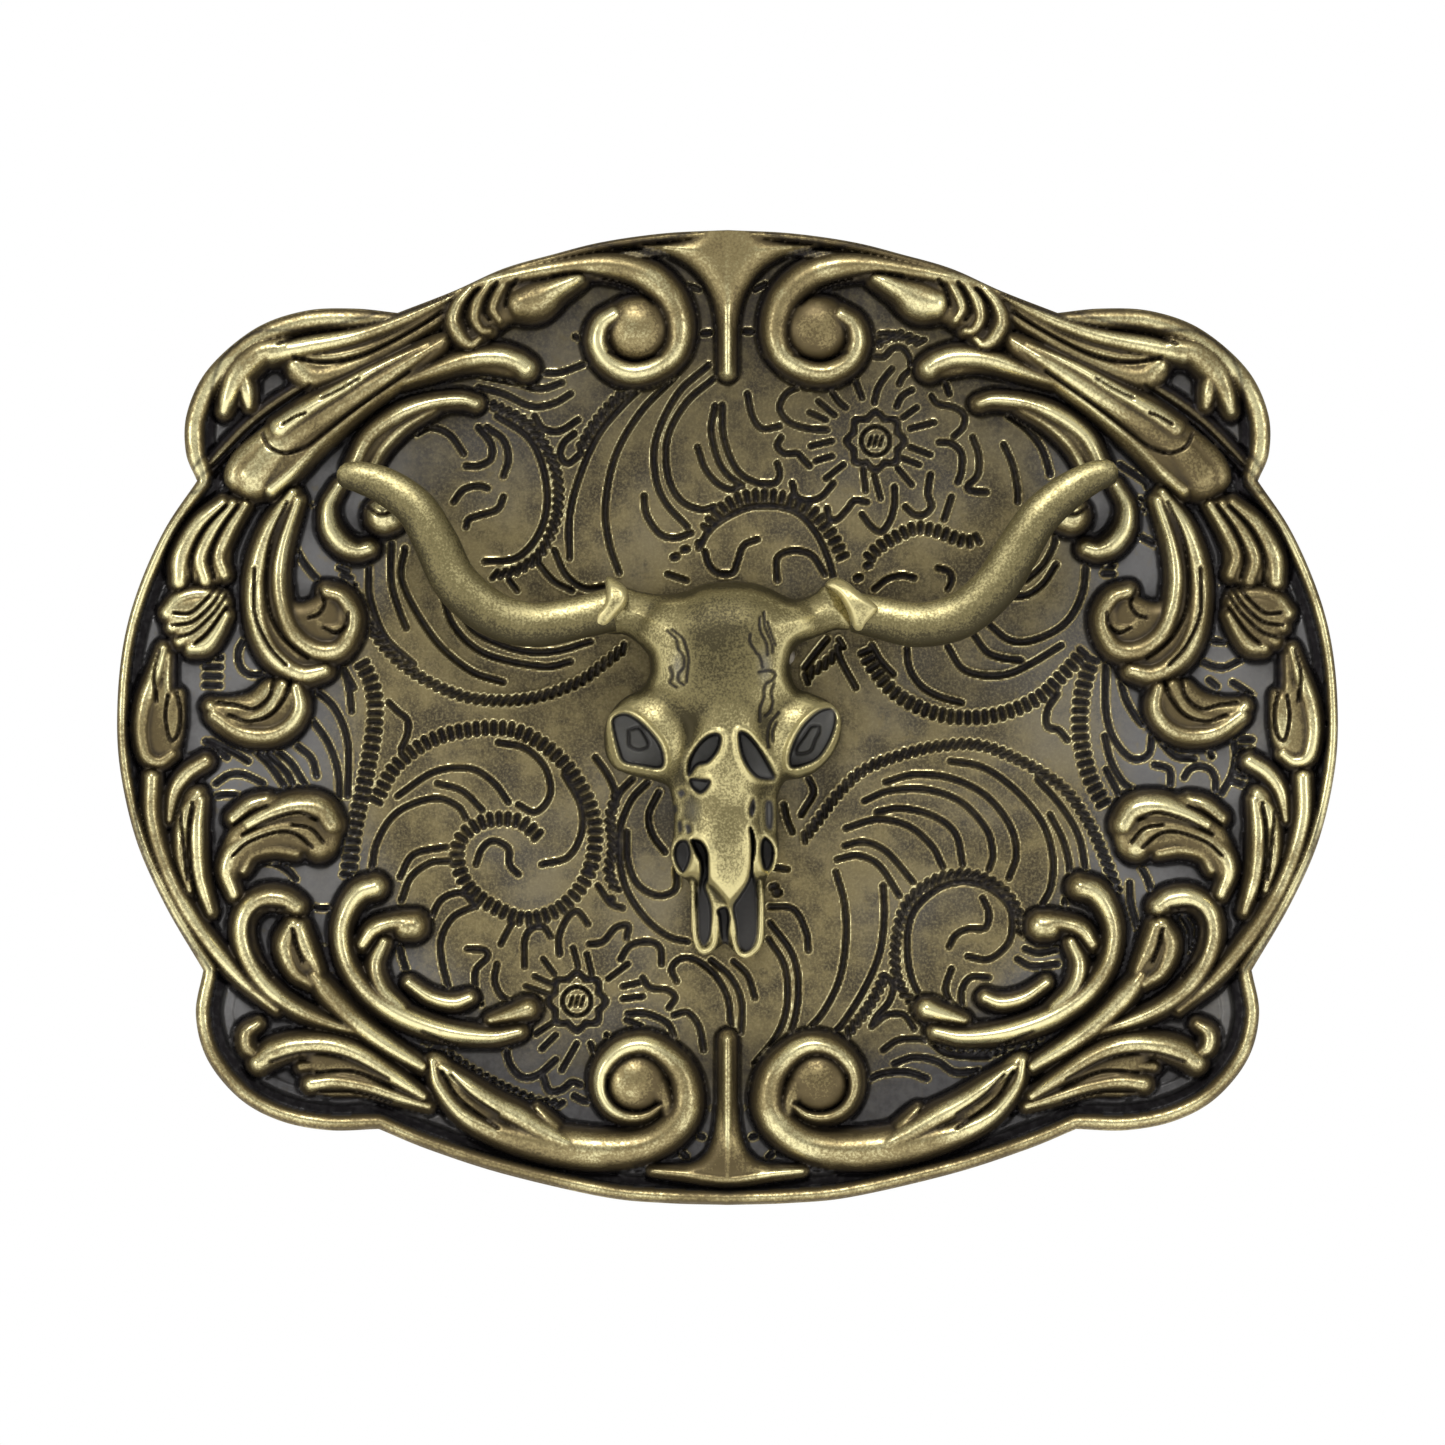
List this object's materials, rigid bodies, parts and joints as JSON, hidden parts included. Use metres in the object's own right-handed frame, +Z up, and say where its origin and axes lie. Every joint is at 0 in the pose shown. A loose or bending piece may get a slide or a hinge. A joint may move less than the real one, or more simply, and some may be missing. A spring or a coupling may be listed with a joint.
{
  "type": "belt buckle",
  "caption": "Oval western belt buckle with lobed corners, scroll border, engraved field and a raised longhorn skull badge; swinging belt loop and hook stud behind.",
  "frame": {"origin": "middle of the plate's outline, on the plane of its flat back, on the small pad in the middle", "axes": "-Y forwards out of the decorated face, +X to the right seen from the front, +Z up as worn"},
  "size_m": [0.098, 0.0185, 0.0782],
  "materials": {
    "plate_brass": "antiqued brass plating on a zinc casting, blackened recesses, rubbed bright on the raised scrolls and rim",
    "badge_brass": "antiqued brass plating, fine matt grain, rubbed paler on the high points",
    "hardware_brass": "antiqued brass plating, lightly worn",
    "fastener_steel": "darkened nickel-plated steel",
    "pin_steel": "drawn steel, dulled"
  },
  "bodies": {
    "buckle": {"face_plate": "plate_brass", "skull_badge": "badge_brass", "badge_screw_left": "fastener_steel", "badge_screw_right": "fastener_steel", "badge_screw_lower": "fastener_steel", "badge_washer_left": "fastener_steel", "badge_washer_right": "fastener_steel", "badge_washer_lower": "fastener_steel", "bail_pin": "pin_steel", "bail_pin_ring": "pin_steel", "hook_stud": "hardware_brass"},
    "bail": {"bail": "hardware_brass"}
  },
  "joints": [
    {"name": "bail_swing", "type": "hinge", "parent": "buckle", "child": "bail", "pos_m": [0.024, 0.0056, 0], "axis": [0, 0, 1], "range_deg": [-10, 180]}
  ]
}
